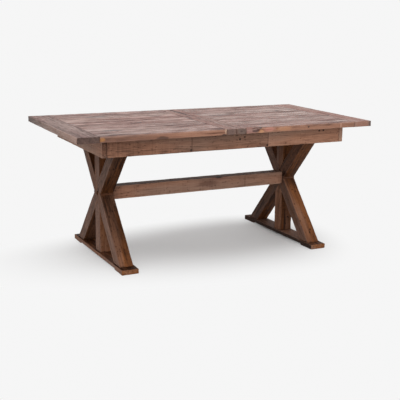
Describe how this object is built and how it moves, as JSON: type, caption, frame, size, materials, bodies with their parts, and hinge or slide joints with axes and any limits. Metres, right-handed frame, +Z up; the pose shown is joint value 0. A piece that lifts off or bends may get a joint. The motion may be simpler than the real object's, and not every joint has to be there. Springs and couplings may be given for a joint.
{
  "type": "sawbuck table",
  "caption": "Rustic pine sawbuck dining table with crossed trestle legs, a low stretcher and a sliding top that parts at the middle for a stowed leaf.",
  "frame": {"origin": "on the floor, below the middle of the table top", "axes": "+X along the table's length, -Y towards the front in the picture, +Z up"},
  "size_m": [1.8, 0.9, 0.76],
  "materials": {
    "top_pine": "reclaimed pine, washed brown stain, matt",
    "frame_pine": "reclaimed pine, brown stain, waxed",
    "beech": "bare planed beech",
    "zinc_steel": "zinc plated",
    "aged_brass": "aged brass"
  },
  "bodies": {
    "frame": {"left_foot": "frame_pine", "left_leg_leaning_back": "frame_pine", "left_leg_leaning_forward": "frame_pine", "left_upper_post": "frame_pine", "left_lower_post": "frame_pine", "left_cleat": "frame_pine", "left_leaf_bearer": "frame_pine", "left_end_apron": "frame_pine", "right_foot": "frame_pine", "right_leg_leaning_back": "frame_pine", "right_leg_leaning_forward": "frame_pine", "right_upper_post": "frame_pine", "right_lower_post": "frame_pine", "right_cleat": "frame_pine", "right_leaf_bearer": "frame_pine", "right_end_apron": "frame_pine", "front_apron": "frame_pine", "back_apron": "frame_pine", "stretcher": "frame_pine", "corner_blocks": "frame_pine", "crossing_fillets": "frame_pine", "leaf_left_board": "top_pine", "leaf_right_board": "top_pine", "leaf_planks": "top_pine", "front_guide_rail": "beech", "back_guide_rail": "beech", "leaf_pins": "beech", "guide_screws": "zinc_steel", "coach_screws": "zinc_steel", "foot_screws": "zinc_steel", "stretcher_bolts": "zinc_steel", "stretcher_washers": "zinc_steel", "barrel_nuts": "zinc_steel"},
    "left_top": {"left_end_board": "top_pine", "left_seam_board": "top_pine", "left_plank_1": "top_pine", "left_plank_2": "top_pine", "left_plank_3": "top_pine", "left_plank_4": "top_pine", "left_plank_5": "top_pine", "left_front_runner": "beech", "left_back_runner": "beech", "left_runner_screws": "zinc_steel", "seam_pins": "beech", "latch_pivot_screws": "aged_brass"},
    "right_top": {"right_end_board": "top_pine", "right_seam_board": "top_pine", "right_plank_1": "top_pine", "right_plank_2": "top_pine", "right_plank_3": "top_pine", "right_plank_4": "top_pine", "right_plank_5": "top_pine", "right_front_runner": "beech", "right_back_runner": "beech", "right_runner_screws": "zinc_steel", "latch_keeper_screws": "aged_brass"},
    "front_latch": {"front_latch": "aged_brass"},
    "back_latch": {"back_latch": "aged_brass"}
  },
  "joints": [
    {"name": "left_top_slide", "type": "slide", "parent": "frame", "child": "left_top", "axis": [-1, 0, 0], "range_m": [0, 0.2]},
    {"name": "right_top_slide", "type": "slide", "parent": "frame", "child": "right_top", "axis": [1, 0, 0], "range_m": [0, 0.2]},
    {"name": "front_latch_turn", "type": "hinge", "parent": "left_top", "child": "front_latch", "pos_m": [-0.0306, -0.2826, 0.7265], "axis": [0, 0, -1], "range_deg": [0, 90]},
    {"name": "back_latch_turn", "type": "hinge", "parent": "left_top", "child": "back_latch", "pos_m": [-0.0306, 0.2826, 0.7265], "axis": [0, 0, 1], "range_deg": [0, 90]}
  ]
}
